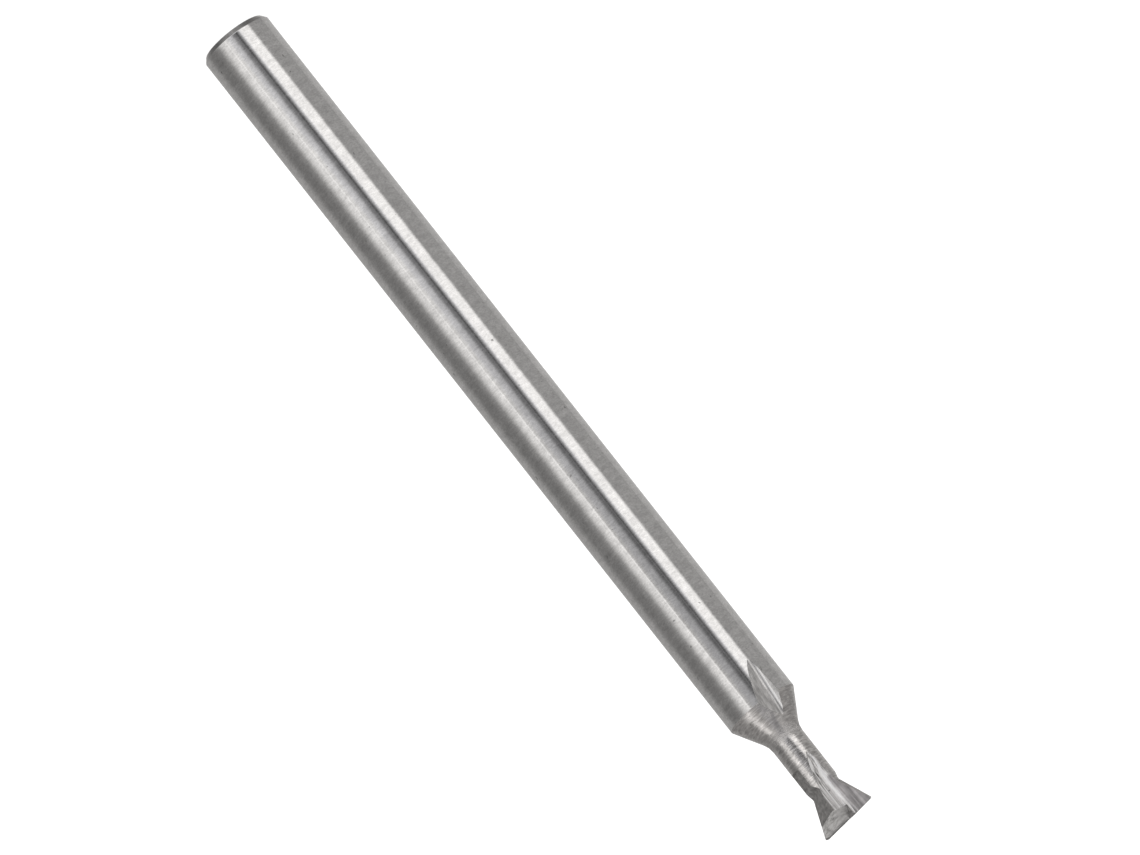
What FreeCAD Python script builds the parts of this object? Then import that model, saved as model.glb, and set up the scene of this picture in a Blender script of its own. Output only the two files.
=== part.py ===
import FreeCAD, Part
import math
import os

# A straight-fluted dovetail end mill, ground from one bar of sintered carbide.
# The tool stands on its shank end: the axis is +Z, the origin is the centre of the
# end face, and the dovetail head is at the top. The first tooth's cutting edge lies
# over +X, its rake face looks towards +Y, and its relief lies behind it, towards -Y.
# Millimetres and degrees throughout.

# Shank
shank_diameter = 3.0
overall_length = 39.0
end_chamfer_radial = 0.16
end_chamfer_axial = 0.21
end_edge_radius = 0.05

# Shoulder and neck
shoulder_angle = 30.0
shoulder_fillet_radius = 0.9
neck_diameter = 1.42
neck_length = 2.63

# Dovetail head
head_diameter = 2.75
flank_angle = 25.0
corner_chamfer_radial = 0.10
corner_chamfer_axial = 0.05
tooth_count = 2

# Flutes: a flat rake wall, a flat floor and a rounded corner between them
flute_floor_distance = 0.43
flute_floor_turn = 19.0
flute_wall_lean = 5.3
flute_corner_radius = 0.2
flute_ramp_angle = 10.8
flute_ramp_overlap = 0.18
flute_blend_radius = 4.0

# Relief behind each flank edge
flank_land_width = 0.13
flank_land_clearance = 15.0
flank_relief_turn = 58.0
neck_flat_distance = 0.596
neck_flat_length = 1.15
neck_flat_entry_angle = 60.0
undercut_angle = 27.0
undercut_lead = 0.05

# Relief behind each end edge, and the gash that opens the flute to the centre
end_land_clearance = 10.0
end_relief_turn = 15.0
end_relief_angle = 51.0
end_tip_land = 0.04
gash_height = 0.47
gash_web = 0.05

# Worked out from the sizes above
shank_radius = shank_diameter / 2
neck_radius = neck_diameter / 2
head_radius = head_diameter / 2
flank_slope = math.tan(math.radians(flank_angle))
head_height = corner_chamfer_axial + (head_radius - neck_radius) / flank_slope
head_base = overall_length - head_height
shoulder_length = (shank_radius - neck_radius) / math.tan(math.radians(shoulder_angle))
neck_base = head_base - neck_length
shoulder_base = neck_base - shoulder_length
reach = shank_diameter + head_diameter
up = FreeCAD.Vector(0, 0, 1)
origin = FreeCAD.Vector(0, 0, 0)


def prism(edges, turn, start=-reach):
    """A cutter with a closed side profile of distance and height.

    The distance is measured from the axis along a direction turned from +X about
    +Z. The profile is carried square to that direction, from the start outwards.
    """
    face = Part.Face(Part.Wire(edges))
    face.translate(FreeCAD.Vector(0, start, 0))
    solid = face.extrude(FreeCAD.Vector(0, reach - start, 0))
    solid.rotate(origin, up, turn)
    return solid


def outline(pairs):
    """Straight edges round a closed run of (distance, height) pairs."""
    corners = [FreeCAD.Vector(distance, 0, height) for distance, height in pairs]
    closed = corners + corners[:1]
    return [Part.LineSegment(a, b).toShape() for a, b in zip(closed, closed[1:])]


def half_space(point, normal):
    """A large block that fills the side of a plane that its normal points to."""
    block = Part.makeBox(4 * reach, 4 * reach, 4 * reach)
    block.translate(FreeCAD.Vector(-2 * reach, -2 * reach, 0))
    turn = FreeCAD.Rotation(up, normal)
    block.Placement = FreeCAD.Placement(point, turn).multiply(block.Placement)
    return block


def slab(low, high):
    """Everything near the axis between two heights."""
    block = Part.makeBox(2 * reach, 2 * reach, high - low)
    block.translate(FreeCAD.Vector(-reach, -reach, low))
    return block


def circle_edges(solid, radius, height):
    """The round edges of a turned solid at one radius and height."""
    found = []
    for edge in solid.Edges:
        curve = edge.Curve
        if not isinstance(curve, Part.Circle):
            continue
        if abs(curve.Radius - radius) < 1e-6 and abs(curve.Center.z - height) < 1e-6:
            found.append(edge)
    return found


def turned_blank():
    """The ground blank before fluting: shank, shoulder, neck and solid dovetail."""
    profile = [
        (0.0, 0.0),
        (shank_radius - end_chamfer_radial, 0.0),
        (shank_radius, end_chamfer_axial),
        (shank_radius, shoulder_base),
        (neck_radius, neck_base),
        (neck_radius, head_base),
        (head_radius, overall_length - corner_chamfer_axial),
        (head_radius - corner_chamfer_radial, overall_length),
        (0.0, overall_length),
    ]
    blank = Part.Face(Part.Wire(outline(profile))).revolve(origin, up, 360)
    end_edges = circle_edges(blank, shank_radius - end_chamfer_radial, 0.0)
    end_edges += circle_edges(blank, shank_radius, end_chamfer_axial)
    blank = blank.makeFillet(end_edge_radius, end_edges)
    neck_edges = circle_edges(blank, neck_radius, neck_base)
    return blank.makeFillet(shoulder_fillet_radius, neck_edges)


def flute_profile():
    """Side profile of the flute: floor along the head, blend arc, ramp out.

    The ramp is one straight line that runs out over the neck, the shoulder and the
    end of the shank, so it leaves a facet on the shoulder above the bare neck.
    """
    slope = math.tan(math.radians(flute_ramp_angle))
    ramp_start = head_base - flute_ramp_overlap
    tangent = flute_blend_radius * math.tan(math.radians(flute_ramp_angle) / 2)
    outside = shank_radius + head_radius
    ramp_end = ramp_start - (outside - flute_floor_distance) / slope
    top = overall_length + head_height
    axial = tangent * math.cos(math.radians(flute_ramp_angle))
    radial = tangent * math.sin(math.radians(flute_ramp_angle))
    blend_in = FreeCAD.Vector(flute_floor_distance, 0, ramp_start + tangent)
    blend_out = FreeCAD.Vector(flute_floor_distance + radial, 0, ramp_start - axial)
    centre = blend_in + FreeCAD.Vector(flute_blend_radius, 0, 0)
    half = math.radians(flute_ramp_angle) / 2
    middle = centre - FreeCAD.Vector(math.cos(half), 0, math.sin(half)) * flute_blend_radius
    ramp_out = FreeCAD.Vector(outside, 0, ramp_end)
    top_out = FreeCAD.Vector(outside, 0, top)
    top_in = FreeCAD.Vector(flute_floor_distance, 0, top)
    return [
        Part.LineSegment(top_in, blend_in).toShape(),
        Part.Arc(blend_in, middle, blend_out).toShape(),
        Part.LineSegment(blend_out, ramp_out).toShape(),
        Part.LineSegment(ramp_out, top_out).toShape(),
        Part.LineSegment(top_out, top_in).toShape(),
    ]


def rake_side():
    """The open side of the rake wall, which leans forward towards the shank."""
    lean = math.radians(flute_wall_lean)
    normal = FreeCAD.Vector(0, math.cos(lean), math.sin(lean))
    point = FreeCAD.Vector(0, 0, overall_length)
    block = Part.makeBox(4 * reach, 2 * reach, 2 * overall_length)
    block.translate(FreeCAD.Vector(-2 * reach, 0, -overall_length))
    turn = FreeCAD.Rotation(FreeCAD.Vector(0, 1, 0), normal)
    block.Placement = FreeCAD.Placement(point, turn).multiply(block.Placement)
    return block


def flute_cutter():
    """One flute: the floor prism held to the rake wall, with its corner rounded."""
    wall = rake_side()
    cutter = prism(flute_profile(), flute_floor_turn).common(wall)
    lean = math.radians(flute_wall_lean)
    normal = FreeCAD.Vector(0, math.cos(lean), math.sin(lean))
    tip = FreeCAD.Vector(0, 0, overall_length)
    turn = math.radians(flute_floor_turn)
    outward = FreeCAD.Vector(math.cos(turn), math.sin(turn), 0)
    limit = shank_radius + head_radius - 1e-4
    corner = []
    for edge in cutter.Edges:
        ends = [vertex.Point for vertex in edge.Vertexes]
        on_wall = all(abs((end - tip).dot(normal)) < 1e-6 for end in ends)
        low = min(end.dot(outward) for end in ends)
        level = all(abs(end.z - ends[0].z) < 1e-6 for end in ends)
        if on_wall and low < limit and not level:
            corner.append(edge)
    return cutter.makeFillet(flute_corner_radius, corner)


def gash_cutter():
    """The notch that carries the flute floor in to the centre at the end.

    It starts at the axis, at the foot of the rounded flute corner, so the corner
    itself runs on to the end of the tool.
    """
    slope = (flute_floor_distance - gash_web) / gash_height
    low = overall_length - gash_height
    past = overall_length + gash_height
    pairs = [
        (flute_floor_distance, low),
        (gash_web - slope * gash_height, past),
        (head_diameter, past),
        (head_diameter, low),
    ]
    return prism(outline(pairs), flute_floor_turn, start=0.0)


def flank_land_cutter():
    """The narrow primary land: a plane through the flank edge, cleared backwards."""
    flank = math.radians(flank_angle)
    clearance = math.radians(flank_land_clearance)
    square = FreeCAD.Vector(math.cos(flank), 0, -math.sin(flank))
    normal = square * math.cos(clearance) - FreeCAD.Vector(0, 1, 0) * math.sin(clearance)
    root = FreeCAD.Vector(neck_radius, 0, head_base)
    return half_space(root, normal).common(slab(head_base, overall_length + head_height))


def flank_relief_cutter():
    """The wide secondary relief, its undercut at the neck and the flat above it."""
    clearance = math.radians(flank_land_clearance)
    turn = math.radians(flank_relief_turn)
    back = flank_land_width * math.cos(clearance)
    inward = flank_land_width * math.sin(clearance) / math.cos(math.radians(flank_angle))

    def distance(edge_radius):
        return (edge_radius - inward) * math.cos(turn) + back * math.sin(turn)

    slope = flank_slope * math.cos(turn)
    top = overall_length + head_height
    root_height = head_base - undercut_lead
    root = distance(neck_radius - undercut_lead * flank_slope)
    peak = root + slope * (top - root_height)
    rise = max(neck_flat_distance - root, 0.0)
    flat_top = root_height - rise / math.tan(math.radians(undercut_angle))
    flat_base = head_base - neck_flat_length
    outside = peak + shank_radius
    entry = (outside - neck_flat_distance) / math.tan(math.radians(neck_flat_entry_angle))
    pairs = [
        (outside, flat_base - entry),
        (neck_flat_distance, flat_base),
        (neck_flat_distance, flat_top),
        (root, root_height),
        (peak, top),
        (outside, top),
    ]
    cutter = prism(outline(pairs), -flank_relief_turn)
    return cutter.cut(slab(0.0, neck_base))


def end_slope(start, angle, turn):
    """Everything above a plane that starts level at the end and falls away outwards."""
    top = overall_length + head_height
    drop = (reach - start) * math.tan(math.radians(angle))
    pairs = [
        (start, overall_length),
        (reach, overall_length - drop),
        (reach, top),
        (start, top),
    ]
    return prism(outline(pairs), turn)


def end_relief_cutter():
    """Primary and secondary clearance behind the end edge, on the -Y side.

    The secondary face is turned outwards, so it starts close behind the tip of the
    tooth and leaves a wider land towards the centre.
    """
    primary = end_slope(0.0, end_land_clearance, -90.0)
    tip = head_radius * math.sin(math.radians(end_relief_turn))
    start = tip + end_tip_land
    secondary = end_slope(start, end_relief_angle, end_relief_turn - 90.0)
    return primary.fuse(secondary)


def end_mill():
    """The finished tool: the blank with every cut made once for each tooth."""
    tool = turned_blank()
    cutters = [
        flute_cutter(),
        gash_cutter(),
        flank_land_cutter(),
        flank_relief_cutter(),
        end_relief_cutter(),
    ]
    for tooth in range(tooth_count):
        for cutter in cutters:
            turned = cutter.copy()
            turned.rotate(origin, up, 360.0 * tooth / tooth_count)
            tool = tool.cut(turned)
    solid = tool.Solids[0] if len(tool.Solids) == 1 else tool
    return solid.removeSplitter()


os.makedirs("parts", exist_ok=True)
end_mill().exportStep("parts/end_mill.step")
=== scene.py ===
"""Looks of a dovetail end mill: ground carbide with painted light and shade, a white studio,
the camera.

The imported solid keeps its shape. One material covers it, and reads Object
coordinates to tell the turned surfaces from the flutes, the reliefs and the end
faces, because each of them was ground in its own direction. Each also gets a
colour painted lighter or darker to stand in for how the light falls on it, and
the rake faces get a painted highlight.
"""

from __future__ import annotations

import logging
import math
from dataclasses import dataclass
from enum import Enum
from typing import Any

import bpy
import numpy as np
from mathutils import Matrix, Vector

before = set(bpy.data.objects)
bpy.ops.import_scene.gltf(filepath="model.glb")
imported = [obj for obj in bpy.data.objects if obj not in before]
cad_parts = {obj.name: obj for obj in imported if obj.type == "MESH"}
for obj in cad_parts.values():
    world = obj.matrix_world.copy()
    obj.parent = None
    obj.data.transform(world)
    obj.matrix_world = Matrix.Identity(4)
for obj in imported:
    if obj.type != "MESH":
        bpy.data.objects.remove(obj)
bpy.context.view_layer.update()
LOG = logging.getLogger("dovetail_end_mill")
NODE = "end_mill"
MILLIMETRE = 0.001
MICROMETRE = 0.000001
NOISE_MIDDLE = 0.5
FULL_TURN = 360.0
QUARTER_TURN = 90.0
WHITE = (1.0, 1.0, 1.0, 1.0)
BLACK = (0.0, 0.0, 0.0, 1.0)


@dataclass(frozen=True)
class ToolSizes:
    """Sizes of the tool in metres and degrees, as its solid has them.

    Args:
        length: Overall length.
        shank_radius: Radius of the shank.
        neck_radius: Radius of the neck.
        head_radius: Radius of the dovetail at its tips.
        flank_angle: Angle of the dovetail's flank to the axis.
        corner_chamfer: Height of the small chamfer at the tips.
        neck_length: Length of the neck below the dovetail.
        shoulder_angle: Angle of the shoulder cone to the axis.
        floor_distance: Distance of the flute floor from the axis.
        floor_turn: Turn of the flute floor about the axis.
        wall_lean: Angle by which the rake face leans forward.
    """

    length: float = 0.039
    shank_radius: float = 0.0015
    neck_radius: float = 0.00071
    head_radius: float = 0.001375
    flank_angle: float = 25.0
    corner_chamfer: float = 0.00005
    neck_length: float = 0.00263
    shoulder_angle: float = 30.0
    floor_distance: float = 0.00043
    floor_turn: float = 19.0
    wall_lean: float = 5.3

    @property
    def flank_slope(self) -> float:
        """Radius that the dovetail gains per unit of height."""
        return math.tan(math.radians(self.flank_angle))

    @property
    def shoulder_slope(self) -> float:
        """Radius that the shoulder loses per unit of height."""
        return math.tan(math.radians(self.shoulder_angle))

    @property
    def head_base(self) -> float:
        """Height where the neck meets the dovetail."""
        flare = (self.head_radius - self.neck_radius) / self.flank_slope
        return self.length - self.corner_chamfer - flare

    @property
    def neck_base(self) -> float:
        """Height where the shoulder cone would meet the neck."""
        return self.head_base - self.neck_length

    @property
    def shoulder_base(self) -> float:
        """Height where the shank ends and the cone begins."""
        return self.neck_base - (self.shank_radius - self.neck_radius) / self.shoulder_slope


class Value:
    """A shader socket that takes part in Python arithmetic."""

    def __init__(self, tree: Tree, socket: bpy.types.NodeSocket) -> None:
        """Keep the socket and the tree that new Math nodes go into."""
        self.tree = tree
        self.socket = socket

    def compute(self, operation: str, *others: Any, swap: bool = False) -> Value:
        """Add one Math node.

        Args:
            operation: Name of the Math node's operation.
            others: The other operands, as values or numbers.
            swap: True if this value is the second operand.

        Returns:
            The node's result.
        """
        operands = [self, *others]
        if swap:
            operands.reverse()
        inputs = dict(enumerate(operands))
        return self.tree.node("ShaderNodeMath", {"operation": operation}, inputs)

    def __add__(self, other: Any) -> Value:
        """Sum."""
        return self.compute("ADD", other)

    __radd__ = __add__

    def __sub__(self, other: Any) -> Value:
        """Difference."""
        return self.compute("SUBTRACT", other)

    def __rsub__(self, other: Any) -> Value:
        """Difference with this value taken away."""
        return self.compute("SUBTRACT", other, swap=True)

    def __mul__(self, other: Any) -> Value:
        """Product."""
        return self.compute("MULTIPLY", other)

    __rmul__ = __mul__

    def __pow__(self, other: Any) -> Value:
        """Power."""
        return self.compute("POWER", other)

    def __abs__(self) -> Value:
        """Size without sign."""
        return self.compute("ABSOLUTE")

    def sign(self) -> Value:
        """One for a positive value, minus one for a negative one."""
        return self.compute("SIGN")

    def at_least(self, other: Any) -> Value:
        """The larger of two values."""
        return self.compute("MAXIMUM", other)

    def at_most(self, other: Any) -> Value:
        """The smaller of two values."""
        return self.compute("MINIMUM", other)

    def below(self, edge: Any, soft: float) -> Value:
        """One where this value is under the edge, falling smoothly to nought.

        Args:
            edge: Value where the mask is one half.
            soft: Distance from there to one and to nought.

        Returns:
            The mask.
        """
        settings = {"interpolation_type": "SMOOTHSTEP"}
        inputs = {"Value": self - edge, "From Min": -soft, "From Max": soft,
                  "To Min": 1.0, "To Max": 0.0}
        return self.tree.node("ShaderNodeMapRange", settings, inputs, "Result")

    def above(self, edge: Any, soft: float) -> Value:
        """One where this value is over the edge, the other half of below."""
        return 1.0 - self.below(edge, soft)


class Tree:
    """A node tree that is filled through one method."""

    FIRST_COLOUR = 6
    SECOND_COLOUR = 7
    MIXED_COLOUR = 2

    def __init__(self, tree: bpy.types.NodeTree) -> None:
        """Start from an empty tree."""
        self.tree = tree
        self.tree.nodes.clear()

    def node(self, kind: str, settings: dict[str, Any] | None = None,
             inputs: dict[Any, Any] | None = None, output: Any = 0) -> Value:
        """Add a node, set it up and link it.

        Args:
            kind: The node's type.
            settings: Properties that are set first.
            inputs: Socket names or numbers, with values or links.
            output: Name or number of the socket that is returned.

        Returns:
            The chosen output.
        """
        made = self.tree.nodes.new(kind)
        for name, setting in (settings or {}).items():
            setattr(made, name, setting)
        for key, given in (inputs or {}).items():
            socket = made.inputs[key]
            if isinstance(given, Value):
                self.tree.links.new(given.socket, socket)
            else:
                socket.default_value = given
        chosen = made.outputs[output] if made.outputs else None
        return Value(self, chosen)

    def split(self, vector: Value) -> list[Value]:
        """The three parts of a vector."""
        parts = self.node("ShaderNodeSeparateXYZ", {}, {0: vector}).socket.node.outputs
        return [Value(self, part) for part in parts]

    def join(self, x: Any, y: Any, z: Any) -> Value:
        """A vector from three parts."""
        return self.node("ShaderNodeCombineXYZ", {}, {0: x, 1: y, 2: z})

    def blend(self, factor: Any, first: Any, second: Any) -> Value:
        """Mix two colours."""
        inputs = {"Factor": factor, self.FIRST_COLOUR: first, self.SECOND_COLOUR: second}
        return self.node("ShaderNodeMix", {"data_type": "RGBA"}, inputs, self.MIXED_COLOUR)

    def tint(self, colour: Any, factor: Value) -> Value:
        """Make a colour lighter or darker by a value.

        Args:
            colour: The colour.
            factor: Value that it is multiplied by.

        Returns:
            The new colour.
        """
        grey = self.join(factor, factor, factor)
        inputs = {0: colour, 1: grey}
        return self.node("ShaderNodeVectorMath", {"operation": "MULTIPLY"}, inputs)


@dataclass(frozen=True)
class Point:
    """A place on the tool, in Object coordinates.

    Args:
        tree: Tree that its nodes belong to.
        x: Part along +X, over which the first cutting edge lies.
        y: Part along +Y, to which that edge's rake face looks.
        z: Height above the shank end.
    """

    tree: Tree
    x: Value
    y: Value
    z: Value

    @classmethod
    def read(cls, tree: Tree) -> Point:
        """The place that the shader works on."""
        return cls(tree, *tree.split(tree.node("ShaderNodeTexCoord", {}, {}, "Object")))

    def noise(self, level: Any, upright: Any, detail: float = 2.0,
              roughness: float = 0.5) -> Value:
        """Noise between about nought and one.

        Args:
            level: Spots per metre in a level plane.
            upright: Spots per metre in height.
            detail: How many finer layers are added.
            roughness: Weight of each layer beside the one before it.

        Returns:
            The noise at this place.
        """
        vector = self.tree.join(self.x * level, self.y * level, self.z * upright)
        inputs = {"Vector": vector, "Scale": 1.0, "Detail": detail, "Roughness": roughness}
        return self.tree.node("ShaderNodeTexNoise", {}, inputs, "Fac")


def new_material(name: str) -> tuple[bpy.types.Material, Tree]:
    """Make a material with an empty tree.

    Args:
        name: Its name.

    Returns:
        The material and its tree.
    """
    material = bpy.data.materials.new(name)
    material.use_nodes = True
    return material, Tree(material.node_tree)


def new_object(name: str, data: bpy.types.ID) -> bpy.types.Object:
    """Make an object and link it to the scene.

    Args:
        name: Its name.
        data: Its mesh or camera.

    Returns:
        The object, at the origin.
    """
    made = bpy.data.objects.new(name, data)
    bpy.context.scene.collection.objects.link(made)
    return made


class Surface(Enum):
    """The ground surfaces that get a finish of their own, and a colour with painted light or
    shade.
    """

    NECK = "neck"
    CONE = "shoulder cone"
    FLUTE = "flute floor and corner"
    RAMP = "flute ramp on the shoulder"
    WALL = "flute wall on the shoulder"
    RAKE = "rake face"
    RELIEF = "flank relief and neck flat"
    END = "end clearance"
    END_LAND = "land behind the end edge"
    GASH = "gash floor"
    GASH_WALL = "gash wall"


@dataclass(frozen=True)
class FinishAndPaintedLight:
    """How one ground surface looks.

    Args:
        colour: Base colour, painted lighter or darker to stand in for how light falls on the
            surface.
        roughness: Mean roughness.
        contrast: How much the grinding lines lighten and darken it.
        depth: Height of the grinding lines, in micrometres.
        across: Lines per millimetre in a level plane.
        along: Lines per millimetre along the tool's axis.
    """

    colour: tuple[float, float, float]
    roughness: float
    contrast: float
    depth: float
    across: float
    along: float

    @property
    def paint(self) -> tuple[float, ...]:
        """The colour, with its painted light or shade, and full alpha."""
        return (*self.colour, 1.0)

    @property
    def working(self) -> tuple[float, ...]:
        """Roughness, contrast and depth, packed like a colour."""
        return (self.roughness, self.contrast, self.depth, 1.0)

    @property
    def grain(self) -> tuple[float, ...]:
        """Spacing of the lines, packed like a colour."""
        return (self.across, self.along, 0.0, 1.0)


SHANK = FinishAndPaintedLight((0.60, 0.595, 0.592), 0.12, 0.33, 0.7, 8.0, 16.0)
# Painted light and shade: all these surfaces are the same carbide, and their colours are made
# lighter or darker so that each facet shows as bright or as dark as the light falls on it. The
# flute floor, its wall on the shoulder, the end clearance and the gash floor are painted
# lighter; the cone, the rake face, the flank relief and neck flat, and the end land (a painted
# dark line along the end edge) are painted darker. Roughness and the grinding lines are the
# real finish.
FINISHES_AND_PAINTED_LIGHT = {
    Surface.NECK: FinishAndPaintedLight((0.58, 0.566, 0.557), 0.22, 0.70, 16.0, 3.2, 14.0),
    Surface.CONE: FinishAndPaintedLight((0.52, 0.504, 0.495), 0.21, 0.70, 9.0, 3.2, 17.0),
    Surface.FLUTE: FinishAndPaintedLight((0.82, 0.81, 0.806), 0.60, 2.30, 4.0, 9.0, 0.2),
    Surface.RAMP: FinishAndPaintedLight((0.58, 0.573, 0.568), 0.40, 0.80, 4.0, 9.0, 0.2),
    Surface.WALL: FinishAndPaintedLight((0.92, 0.915, 0.91), 0.40, 0.60, 4.0, 9.0, 0.2),
    Surface.RAKE: FinishAndPaintedLight((0.51, 0.495, 0.505), 0.34, 0.70, 1.2, 9.0, 0.2),
    Surface.RELIEF: FinishAndPaintedLight((0.345, 0.338, 0.332), 0.36, 0.90, 1.6, 5.0, 7.0),
    Surface.END: FinishAndPaintedLight((0.82, 0.81, 0.80), 0.34, 1.00, 8.0, 3.0, 13.0),
    Surface.END_LAND: FinishAndPaintedLight((0.36, 0.352, 0.348), 0.30, 0.50, 1.6, 5.0, 7.0),
    Surface.GASH: FinishAndPaintedLight((0.70, 0.69, 0.685), 0.34, 0.60, 3.0, 3.0, 13.0),
    # Painted shadow: the gash wall is darkened as if shaded by the tooth beside it.
    Surface.GASH_WALL: FinishAndPaintedLight((0.40, 0.394, 0.39), 0.34, 0.50, 1.2, 5.0, 7.0),
}


@dataclass(frozen=True)
class Clouds:
    """Broad, faint patches of lighter and darker metal.

    Args:
        across: Patches per metre in a level plane.
        along: Patches per metre along the tool's axis.
        contrast: How much they lighten and darken the metal.
    """

    across: float = 1800.0
    along: float = 6000.0
    contrast: float = 0.45

    def shade(self, place: Point) -> Value:
        """Change of brightness, around nought."""
        return (place.noise(self.across, self.along) - NOISE_MIDDLE) * self.contrast


@dataclass(frozen=True)
class Specks:
    """A few tiny dark pits, where a fine noise peaks.

    Args:
        spacing: Spots of the noise per metre.
        detail: How many finer layers the noise has.
        peak: Noise from which a pit shows.
        soft: Range of noise over which it fades in.
        darkness: Share of the light that a pit takes.
        roughness: Roughness that a pit adds.
    """

    spacing: float = 4500.0
    detail: float = 1.0
    peak: float = 0.775
    soft: float = 0.02
    darkness: float = 0.45
    roughness: float = 0.15

    def mask(self, place: Point) -> Value:
        """One in a pit, nought elsewhere."""
        noise = place.noise(self.spacing, self.spacing, self.detail)
        return noise.above(self.peak, self.soft)


@dataclass(frozen=True)
class PaintedRakeHighlight:
    """A painted highlight, a bright upright strip on each rake face that stands in for a
    reflection.

    Args:
        radius: Its distance from the axis.
        width: Half of its width, and the width over which its sides fade.
        reach: How far it goes down from the end.
        fade: Height over which it fades out there.
        gain: How much it lightens the face.
    """

    radius: float = 0.00100
    width: float = 0.00006
    reach: float = 0.0008
    fade: float = 0.0003
    gain: float = 0.55

    def mask(self, place: Point, length: float) -> Value:
        """One on the painted highlight, nought beside and under it."""
        beside = abs(abs(place.x) - self.radius).below(self.width, self.width)
        return beside * place.z.above(length - self.reach, self.fade)


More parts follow.
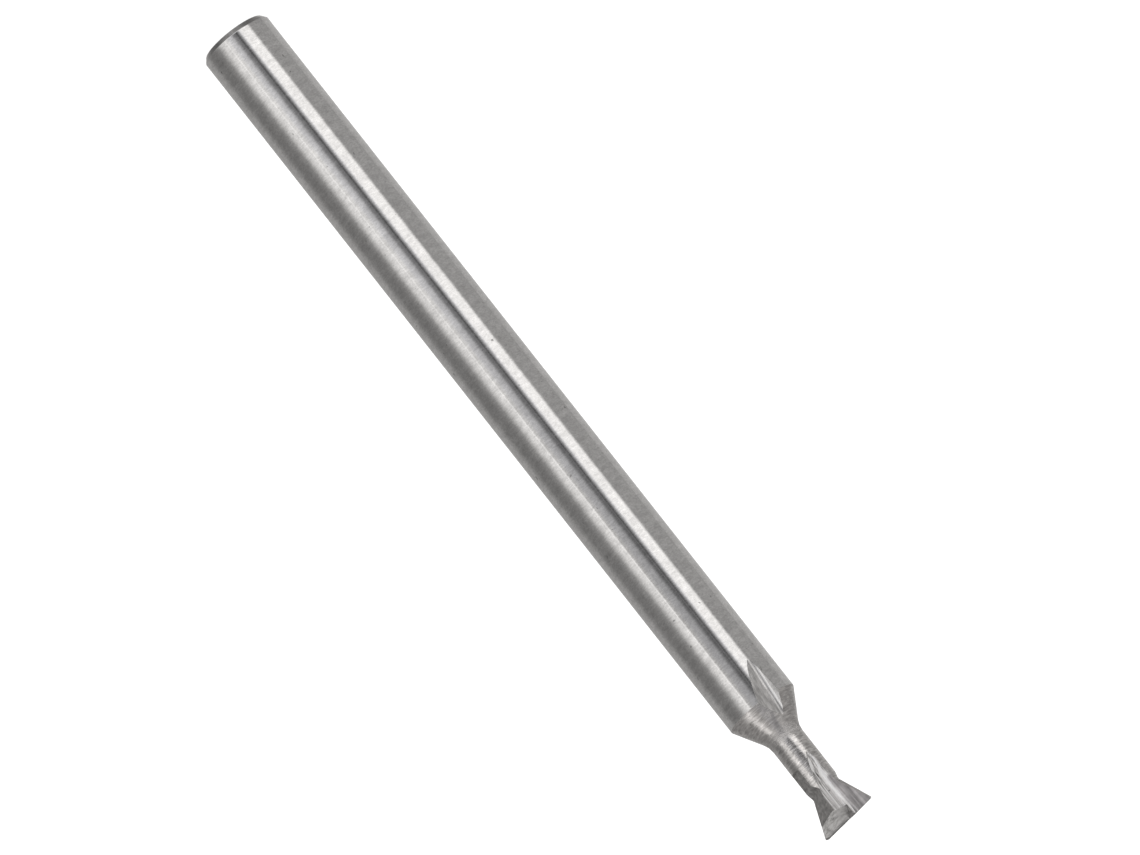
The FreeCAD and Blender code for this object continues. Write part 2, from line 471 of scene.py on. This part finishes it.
@dataclass(frozen=True)
class GroundCarbide:
    """The one material of the tool, with a finish for each kind of surface and colours painted
    lighter or darker for light and shade.

    Args:
        sizes: Sizes of the tool.
        skin: Distance within which a point counts as on a surface.
        crisp: Half of a border's width beside the end and the gash.
        keen: Half of a border's width beside the flute.
        rake_skin: The same as skin, for the rake face.
        gash_skin: The same as skin, for the gash wall.
        heel_turn: Turn about the axis at which the flute ends.
        rake_start: How far the rake's finish goes down the neck.
        rake_fade: Height over which it fades out there.
        ramp_fade: Height over which the flute's finish turns into the ramp's.
        cone_fade: Height over which the cone's finish turns into the neck's.
        end_clearance: Fall of the end behind its edge, in degrees.
        end_relief: Fall of the steeper clearance behind it, in degrees.
        end_turn: Turn of that clearance about the axis, in degrees.
        end_tip_land: Width of the land before it, at the tip.
        end_depth: How far the end's finish goes down.
        end_land_width: Width of the land behind the end edge.
        gash_height: Depth of the gash below the end.
        gash_web: Distance from the axis at which the gash starts.
        line_raggedness: Weight of the finer layers in the grinding lines.
        line_gain: Brings the noise of the lines to a reach of one each way.
        line_roughness: Roughness that the lines add and take.
        clouds: The broad patches.
        specks: The pits.
        painted_rake_highlight: The painted highlight on the rake face.
    """

    sizes: ToolSizes
    skin: float = 0.000014
    crisp: float = 0.0000042
    keen: float = 0.0000028
    rake_skin: float = 0.000021
    gash_skin: float = 0.0000112
    heel_turn: float = 76.0
    rake_start: float = 0.0003
    rake_fade: float = 0.000056
    ramp_fade: float = 0.00028
    cone_fade: float = 0.0003
    end_clearance: float = 10.0
    end_relief: float = 51.0
    end_turn: float = 15.0
    end_tip_land: float = 0.00004
    end_depth: float = 0.00050
    end_land_width: float = 0.00014
    gash_height: float = 0.00047
    gash_web: float = 0.00005
    line_raggedness: float = 0.6
    line_gain: float = 2.0
    line_roughness: float = 0.10
    clouds: Clouds = Clouds()
    specks: Specks = Specks()
    painted_rake_highlight: PaintedRakeHighlight = PaintedRakeHighlight()

    def build(self) -> bpy.types.Material:
        """Make the material.

        Returns:
            The finished material.
        """
        material, tree = new_material("ground_carbide_finish_and_painted_light")
        place = Point.read(tree)
        masks = self.masks(place)
        colour, working, grain = SHANK.paint, SHANK.working, SHANK.grain
        # Each surface's colour, painted lighter or darker for light and shade, is laid over
        # the shank's.
        for surface, finish in FINISHES_AND_PAINTED_LIGHT.items():
            mask = masks[surface]
            colour = tree.blend(mask, colour, finish.paint)
            working = tree.blend(mask, working, finish.working)
            grain = tree.blend(mask, grain, finish.grain)
        rough, contrast, depth = tree.split(working)
        across, along, _ = tree.split(grain)
        per_metre = 1.0 / MILLIMETRE
        lines = place.noise(across * per_metre, along * per_metre,
                            roughness=self.line_raggedness)
        off_shank_end = place.z.above(self.skin, self.skin / 2.0)
        lines = (lines - NOISE_MIDDLE) * off_shank_end
        # Painted highlight: the rake faces are lightened in an upright strip near the tips.
        painted_rake_highlight = self.painted_rake_highlight.mask(place, self.sizes.length) * masks[Surface.RAKE]
        pits = self.specks.mask(place)
        shade = 1.0 + lines * contrast * self.line_gain + painted_rake_highlight * self.painted_rake_highlight.gain
        shade = shade * (1.0 + self.clouds.shade(place) * off_shank_end)
        shade = shade * (1.0 - pits * self.specks.darkness)
        bump = tree.node("ShaderNodeBump", {}, {
            "Strength": 1.0,
            "Distance": MILLIMETRE,
            "Height": lines * depth * (MICROMETRE / MILLIMETRE),
        })
        shader = tree.node("ShaderNodeBsdfPrincipled", {}, {
            "Base Color": tree.tint(colour, shade),
            "Metallic": 1.0,
            "Roughness": rough + lines * self.line_roughness + pits * self.specks.roughness,
            "Normal": bump,
        })
        tree.node("ShaderNodeOutputMaterial", {}, {"Surface": shader})
        return material

    def outline(self, z: Value) -> Value:
        """Radius of the turned blank at a height.

        It is the shank's radius less the shoulder's slope above the shank, never
        under the neck's radius, plus the flank's slope above the neck.

        Args:
            z: Height above the shank end.

        Returns:
            The radius.
        """
        size = self.sizes
        fall = (z - size.shoulder_base).at_least(0.0) * size.shoulder_slope
        flare = (z - size.head_base).at_least(0.0) * size.flank_slope
        return (size.shank_radius - fall).at_least(size.neck_radius) + flare

    def masks(self, place: Point) -> dict[Surface, Value]:
        """Tell the surfaces apart by where they lie.

        A point that lies deeper than the turned outline was cut after turning. The
        half turn that carries one tooth to the other changes the sign of x and y
        together, so the point is first folded onto the first tooth's side.

        Args:
            place: The object position.

        Returns:
            A mask for each surface; where masks overlap, the later finish covers.
        """
        size = self.sizes
        x, y, z = place.x, place.y, place.z
        radius = (x * x + y * y) ** 0.5
        cut = (self.outline(z) - radius).above(self.skin, self.keen)
        cut = cut * z.above(size.shank_radius, self.skin)
        fold_x, fold_y = abs(x), y * x.sign()
        heel = math.radians(self.heel_turn)
        ahead = fold_x * math.sin(heel) - fold_y * math.cos(heel)
        flute = fold_y.above(-self.crisp, self.keen / 2.0) * ahead.above(0.0, self.keen)
        in_flute = cut * flute
        behind = cut * (1.0 - flute)
        wall = (size.length - z) * math.tan(math.radians(size.wall_lean))
        rake = (fold_y - wall).below(self.rake_skin, self.skin)
        on_head = z.above(size.head_base - self.rake_start, self.rake_fade)
        on_ramp = z.below(size.neck_base, self.ramp_fade)
        above_shank = z.above(size.shoulder_base, self.skin)
        at_tip = z.above(size.length - self.end_depth, self.skin)
        end = self.end_mask(place) * at_tip
        gash, gash_wall = self.gash_masks(place)
        return {
            Surface.NECK: above_shank,
            Surface.CONE: above_shank * z.below(size.neck_base, self.cone_fade),
            Surface.FLUTE: in_flute,
            Surface.RAMP: in_flute * on_ramp,
            Surface.WALL: in_flute * on_ramp * rake,
            Surface.RAKE: in_flute * on_head * rake,
            Surface.RELIEF: behind,
            Surface.END: (behind * at_tip).at_least(end),
            Surface.END_LAND: end * abs(y).below(self.end_land_width, self.skin),
            Surface.GASH: gash,
            Surface.GASH_WALL: gash_wall,
        }

    def end_mask(self, place: Point) -> Value:
        """One on both end clearances.

        Each clearance is a plane that falls with the distance from its edge, and the
        end is the lower of the two.

        Args:
            place: The object position.

        Returns:
            The mask, which is one over the end as well.
        """
        size = self.sizes
        out = math.radians(self.end_turn)
        away = abs(place.x * math.sin(out) - place.y * math.cos(out))
        start = size.head_radius * math.sin(out) + self.end_tip_land
        primary = size.length - abs(place.y) * math.tan(math.radians(self.end_clearance))
        secondary = size.length - (away - start) * math.tan(math.radians(self.end_relief))
        return (place.z - primary.at_most(secondary)).above(-self.skin, self.crisp)

    def gash_masks(self, place: Point) -> tuple[Value, Value]:
        """Tell the two faces of the gash apart.

        Its floor slopes out from the web to the flute floor, and its wall goes
        through the axis.

        Args:
            place: The object position.

        Returns:
            The masks of its floor and of its wall.
        """
        size = self.sizes
        turn = math.radians(size.floor_turn)
        across = place.x * math.cos(turn) + place.y * math.sin(turn)
        side = (place.y * math.cos(turn) - place.x * math.sin(turn)) * across.sign()
        slope = (size.floor_distance - self.gash_web) / self.gash_height
        floor = (size.length - place.z) * slope + self.gash_web
        high = place.z.above(size.length - self.gash_height, self.skin / 2.0)
        on_floor = abs(abs(across) - floor).below(self.skin, self.crisp)
        on_wall = abs(side).below(self.gash_skin, self.crisp)
        inside = abs(across).below(size.floor_distance + self.skin, self.crisp)
        return on_floor * side.above(0.0, self.crisp) * high, on_wall * inside * high


@dataclass(frozen=True)
class Band:
    """A soft panel of light, placed by its angle round the tool.

    Args:
        turn: Degrees to the left of the camera, seen from the tool.
        width: Width in degrees from half height to half height.
        strength: Radiance added at its middle.
        edge: Degrees over which its sides fade.
    """

    turn: float
    width: float
    strength: float
    edge: float

    def light(self, angle: Value) -> Value:
        """Radiance that the panel adds in a direction.

        Args:
            angle: Degrees to the left of the camera.

        Returns:
            The radiance.
        """
        away = abs(angle - self.turn)
        nearest = away.at_most(FULL_TURN - away)
        return nearest.below(self.width / 2.0, self.edge / 2.0) * self.strength


@dataclass(frozen=True)
class Border:
    """A level border between a lower and an upper part of the light tent.

    Args:
        height: Its place, as the sine of the elevation.
        soft: Half of its width, the same way.
        share: How much light it adds or takes on its side.
    """

    height: float
    soft: float
    share: float = 1.0

    def over(self, height: Value) -> Value:
        """The share over the border, nought under it."""
        return height.above(self.height, self.soft) * self.share

    def under(self, height: Value) -> Value:
        """The share under the border, nought over it."""
        return height.below(self.height, self.soft) * self.share


@dataclass(frozen=True)
class Tent:
    """The light tent: an even grey with soft panels, which the ground metal mirrors.

    Args:
        ambient: Radiance of the plain grey.
        bands: The upright panels.
        band_middle: Height of their middle, as the sine of the elevation.
        band_end: Where they fade, above and below their middle.
        band_top: Where they fade further.
        ceiling: Panel that darkens the upper part on the far side.
        ceiling_border: Where it starts.
        skylight: Panel high on the left.
        skylight_border: Where it starts.
        footlight: Wide panel near the floor.
        footlight_top: Its upper border.
        footlight_bottom: Its lower border.
        ground: Where the tent darkens towards the floor.
        pit: Where it lightens again straight below.
        cool_band: Where the light is cooler, as a panel of strength one.
        warm: Colour of the light elsewhere.
        cool: Colour of the cooler light.
    """

    ambient: float = 0.46
    bands: tuple[Band, ...] = (
        Band(-41.0, 34.5, 0.98, 10.0),
        Band(-8.0, 13.0, -0.18, 12.0),
        Band(-14.5, 6.0, -0.24, 4.0),
        Band(36.0, 26.0, 0.68, 28.0),
        Band(29.0, 3.2, 0.36, 2.0),
        Band(14.0, 22.0, 0.42, 14.0),
        Band(88.0, 50.0, -0.20, 36.0),
        Band(-146.0, 50.0, 0.12, 26.0),
    )
    band_middle: float = -0.20
    band_end: Border = Border(0.26, 0.20, 0.5)
    band_top: Border = Border(0.45, 0.15, 0.3)
    ceiling: Band = Band(180.0, 120.0, -0.16, 40.0)
    ceiling_border: Border = Border(0.20, 0.15)
    skylight: Band = Band(57.0, 26.0, 0.85, 18.0)
    skylight_border: Border = Border(0.45, 0.10)
    footlight: Band = Band(14.0, 110.0, 0.75, 70.0)
    footlight_top: Border = Border(-0.42, 0.12)
    footlight_bottom: Border = Border(-0.90, 0.06)
    ground: Border = Border(-0.55, 0.25, 0.60)
    pit: Border = Border(-0.93, 0.05, 0.16)
    cool_band: Band = Band(-4.0, 44.0, 1.0, 12.0)
    warm: tuple[float, ...] = (1.0, 0.985, 0.970, 1.0)
    cool: tuple[float, ...] = (0.985, 0.980, 1.0, 1.0)

    def light(self, angle: Value, height: Value) -> Value:
        """Radiance of the tent.

        Args:
            angle: Degrees to the left of the camera.
            height: Sine of the elevation.

        Returns:
            The radiance in that direction.
        """
        tall = 1.0 - self.band_end.over(abs(height - self.band_middle))
        tall = tall - self.band_top.over(height)
        light = self.ceiling.light(angle) * self.ceiling_border.over(height) + self.ambient
        light = light + self.skylight.light(angle) * self.skylight_border.over(height)
        for band in self.bands:
            light = light + band.light(angle) * tall
        light = light * (1.0 - self.ground.under(height))
        low = self.footlight_top.under(height) * self.footlight_bottom.over(height)
        light = light + self.footlight.light(angle) * low
        return light + self.pit.under(height)

    def build(self, azimuth: float) -> None:
        """Fill the world with the tent's light, and plain white for the camera.

        Args:
            azimuth: The camera's azimuth in degrees.
        """
        world = bpy.data.worlds.new("light_tent")
        world.use_nodes = True
        bpy.context.scene.world = world
        tree = Tree(world.node_tree)
        x, y, height = tree.split(tree.node("ShaderNodeTexCoord", {}, {}, "Generated"))
        turn = math.radians(azimuth)
        ahead = x * math.cos(turn) + y * math.sin(turn)
        left = y * math.cos(turn) - x * math.sin(turn)
        angle = left.compute("ARCTAN2", ahead) * math.degrees(1.0)
        colour = tree.blend(self.cool_band.light(angle), self.warm, self.cool)
        tent = tree.node("ShaderNodeBackground", {}, {
            "Strength": self.light(angle, height),
            "Color": colour,
        })
        plain = tree.node("ShaderNodeBackground", {}, {"Strength": 1.0, "Color": WHITE})
        seen = tree.node("ShaderNodeLightPath", {}, {}, "Is Camera Ray")
        mixed = tree.node("ShaderNodeMixShader", {}, {0: seen, 1: tent, 2: plain})
        tree.node("ShaderNodeOutputWorld", {}, {"Surface": mixed})


@dataclass(frozen=True)
class Net:
    """A thin black net near the tool, which dims one panel's upper part.

    Args:
        left: Its left edge in degrees from the camera.
        right: Its right edge, the same way.
        spokes: Points along its level edges.
        distance: Distance from the tool's axis.
        bottom: Height where it starts to dim.
        full: Height from which it dims in full.
        top: Height of its upper edge.
        cover: Share of the light that it holds back.
    """

    left: float = 26.0
    right: float = -9.0
    spokes: int = 25
    distance: float = 0.10
    bottom: float = -0.010
    full: float = 0.008
    top: float = 0.060
    cover: float = 0.40

    def build(self, azimuth: float) -> bpy.types.Object:
        """Hang the net: a part of a cylinder about the tool's axis.

        Each point is the distance times the cosine and sine of its turn, once at
        the lower and once at the upper height.

        Args:
            azimuth: The camera's azimuth in degrees.

        Returns:
            The net, seen in reflections only.
        """
        turns = np.radians(azimuth + np.linspace(self.right, self.left, self.spokes))
        heights = np.repeat([self.bottom, self.top], self.spokes)
        ring = self.distance * np.column_stack([np.cos(turns), np.sin(turns)])
        points = np.column_stack([np.tile(ring, (2, 1)), heights])
        first = np.arange(self.spokes - 1)
        above = first + self.spokes
        faces = np.column_stack([first, first + 1, above + 1, above])
        mesh = bpy.data.meshes.new("net")
        mesh.from_pydata(points.tolist(), [], faces.tolist())
        made = new_object("net", mesh)
        made.data.materials.append(self.material())
        made.visible_camera = False
        made.visible_diffuse = False
        made.visible_shadow = False
        return made

    def material(self) -> bpy.types.Material:
        """Make the threads, which let most of the light through.

        Returns:
            The material, whose cover grows with height.
        """
        material, tree = new_material("black_net")
        middle, half = (self.bottom + self.full) / 2.0, (self.full - self.bottom) / 2.0
        cover = Point.read(tree).z.above(middle, half) * self.cover
        clear = tree.node("ShaderNodeBsdfTransparent")
        thread = tree.node("ShaderNodeBsdfDiffuse", {}, {"Color": BLACK})
        mixed = tree.node("ShaderNodeMixShader", {}, {0: cover, 1: clear, 2: thread})
        tree.node("ShaderNodeOutputMaterial", {}, {"Surface": mixed})
        return material


@dataclass(frozen=True)
class Floor:
    """White paper under the tool.

    Args:
        height: Its height, just under the shank end, so that the two don't touch.
        reach: Radius of the paper.
        spokes: Points on each ring.
        rings: Number of rings.
        paper: Colour of the paper.
        roughness: Roughness of the paper.
        glow: Light of its own, which keeps the shadow faint.
    """

    height: float = -0.00002
    reach: float = 1.2
    spokes: int = 96
    rings: int = 6
    paper: tuple[float, ...] = (0.9, 0.9, 0.9, 1.0)
    roughness: float = 0.9
    glow: float = 0.78

    def build(self) -> bpy.types.Object:
        """Lay the paper: a disc on a polar grid.

        Each point is its ring's radius times the cosine and sine of its turn, and
        the middle is a fan round one point.

        Returns:
            The floor.
        """
        turns = np.linspace(0.0, 2.0 * math.pi, self.spokes, endpoint=False)
        radii = self.reach * np.linspace(0.0, 1.0, self.rings + 1)[1:]
        grid = np.stack([np.outer(radii, np.cos(turns)), np.outer(radii, np.sin(turns)),
                         np.full((self.rings, self.spokes), self.height)], axis=-1)
        points = np.vstack([[[0.0, 0.0, self.height]], grid.reshape(-1, 3)])
        spoke = np.arange(self.spokes)
        after = (spoke + 1) % self.spokes
        fan = np.column_stack([np.zeros(self.spokes, int), 1 + spoke, 1 + after])
        inner = 1 + np.arange(self.rings - 1)[:, None] * self.spokes
        outer = inner + self.spokes
        quads = np.stack([inner + spoke, outer + spoke, outer + after, inner + after], axis=-1)
        mesh = bpy.data.meshes.new("floor")
        mesh.from_pydata(points.tolist(), [], fan.tolist() + quads.reshape(-1, 4).tolist())
        made = new_object("floor", mesh)
        made.data.materials.append(self.material())
        made.visible_glossy = False
        return made

    def material(self) -> bpy.types.Material:
        """Make the paper, which is clear when seen from below.

        Returns:
            The material.
        """
        material, tree = new_material("white_paper")
        shader = tree.node("ShaderNodeBsdfPrincipled", {}, {
            "Base Color": self.paper,
            "Roughness": self.roughness,
            "Emission Color": WHITE,
            "Emission Strength": self.glow,
        })
        clear = tree.node("ShaderNodeBsdfTransparent")
        below = tree.node("ShaderNodeNewGeometry", {}, {}, "Backfacing")
        mixed = tree.node("ShaderNodeMixShader", {}, {0: below, 1: shader, 2: clear})
        tree.node("ShaderNodeOutputMaterial", {}, {"Surface": mixed})
        return material


@dataclass(frozen=True)
class Viewpoint:
    """The long lens that sees the tool as the photograph does.

    Args:
        azimuth: Direction of the camera from the tool, in degrees.
        elevation: Its angle above the level plane, in degrees.
        distance: Distance from the camera to its target.
        field_width: Width that the picture covers at the target.
        sensor: Width of the sensor in millimetres.
        roll: Turn of the tool's axis in the picture, in degrees.
        target_height: Height of the target on the tool's axis.
        target_side: Distance of the target beside that axis.
        nearest: Distance from which the camera sees.
        farthest: Distance up to which it sees.
    """

    azimuth: float = 58.53
    elevation: float = 11.575
    distance: float = 1.1
    field_width: float = 0.043761
    sensor: float = 36.0
    roll: float = 141.776
    target_height: float = 0.0202265
    target_side: float = 0.000876
    nearest: float = 0.01
    farthest: float = 10.0

    def axes(self) -> tuple[Vector, Vector, Vector]:
        """Find the picture's own directions, as seen from the tool.

        Returns:
            The directions to the camera, along the tool's axis in the picture and
            across it.
        """
        turn, rise = math.radians(self.azimuth), math.radians(self.elevation)
        toward = Vector((math.cos(rise) * math.cos(turn),
                         math.cos(rise) * math.sin(turn), math.sin(rise)))
        upright = Vector((0.0, 0.0, 1.0))
        along = (upright - toward * upright.dot(toward)).normalized()
        return toward, along, toward.cross(along)

    def build(self) -> bpy.types.Object:
        """Place the camera.

        Returns:
            The camera, already made the scene's own.
        """
        toward, along, across = self.axes()
        lean = math.radians(self.roll - QUARTER_TURN)
        right = along * math.cos(lean) + across * math.sin(lean)
        up = across * math.cos(lean) - along * math.sin(lean)
        target = Vector((0.0, 0.0, self.target_height)) + across * self.target_side
        data = bpy.data.cameras.new("camera")
        data.sensor_width = self.sensor
        data.lens = self.sensor * self.distance / self.field_width
        data.clip_start = self.nearest
        data.clip_end = self.farthest
        made = new_object("camera", data)
        turn = Matrix((right, up, toward)).transposed().to_4x4()
        made.matrix_world = Matrix.Translation(target + toward * self.distance) @ turn
        bpy.context.scene.camera = made
        return made


@dataclass(frozen=True)
class Studio:
    """White floor, light tent with its net, and the camera.

    Args:
        viewpoint: The camera.
        tent: The light.
        net: The net that dims a part of it.
        floor: The paper that the tool stands on.
    """

    viewpoint: Viewpoint = Viewpoint()
    tent: Tent = Tent()
    net: Net = Net()
    floor: Floor = Floor()

    def build(self) -> None:
        """Set up the studio round the tool."""
        azimuth = self.viewpoint.azimuth
        camera = self.viewpoint.build()
        self.tent.build(azimuth)
        stage = [self.floor.build(), self.net.build(azimuth)]
        bpy.context.scene.view_settings.view_transform = "Standard"
        for made in [camera, *stage]:
            LOG.info("studio: %s", made.name)


@dataclass(frozen=True)
class EndMill:
    """The tool, one solid that was ground from one bar.

    Args:
        material: Its finish.
    """

    material: GroundCarbide

    def dress(self) -> None:
        """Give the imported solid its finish."""
        material = self.material.build()
        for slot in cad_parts[NODE].material_slots:
            slot.material = material
        LOG.info("%s: %s", NODE, material.name)


def main() -> None:
    """Build the studio and dress the tool."""
    logging.basicConfig(level=logging.INFO)
    Studio().build()
    EndMill(GroundCarbide(ToolSizes())).dress()


if __name__ == "__main__":
    main()
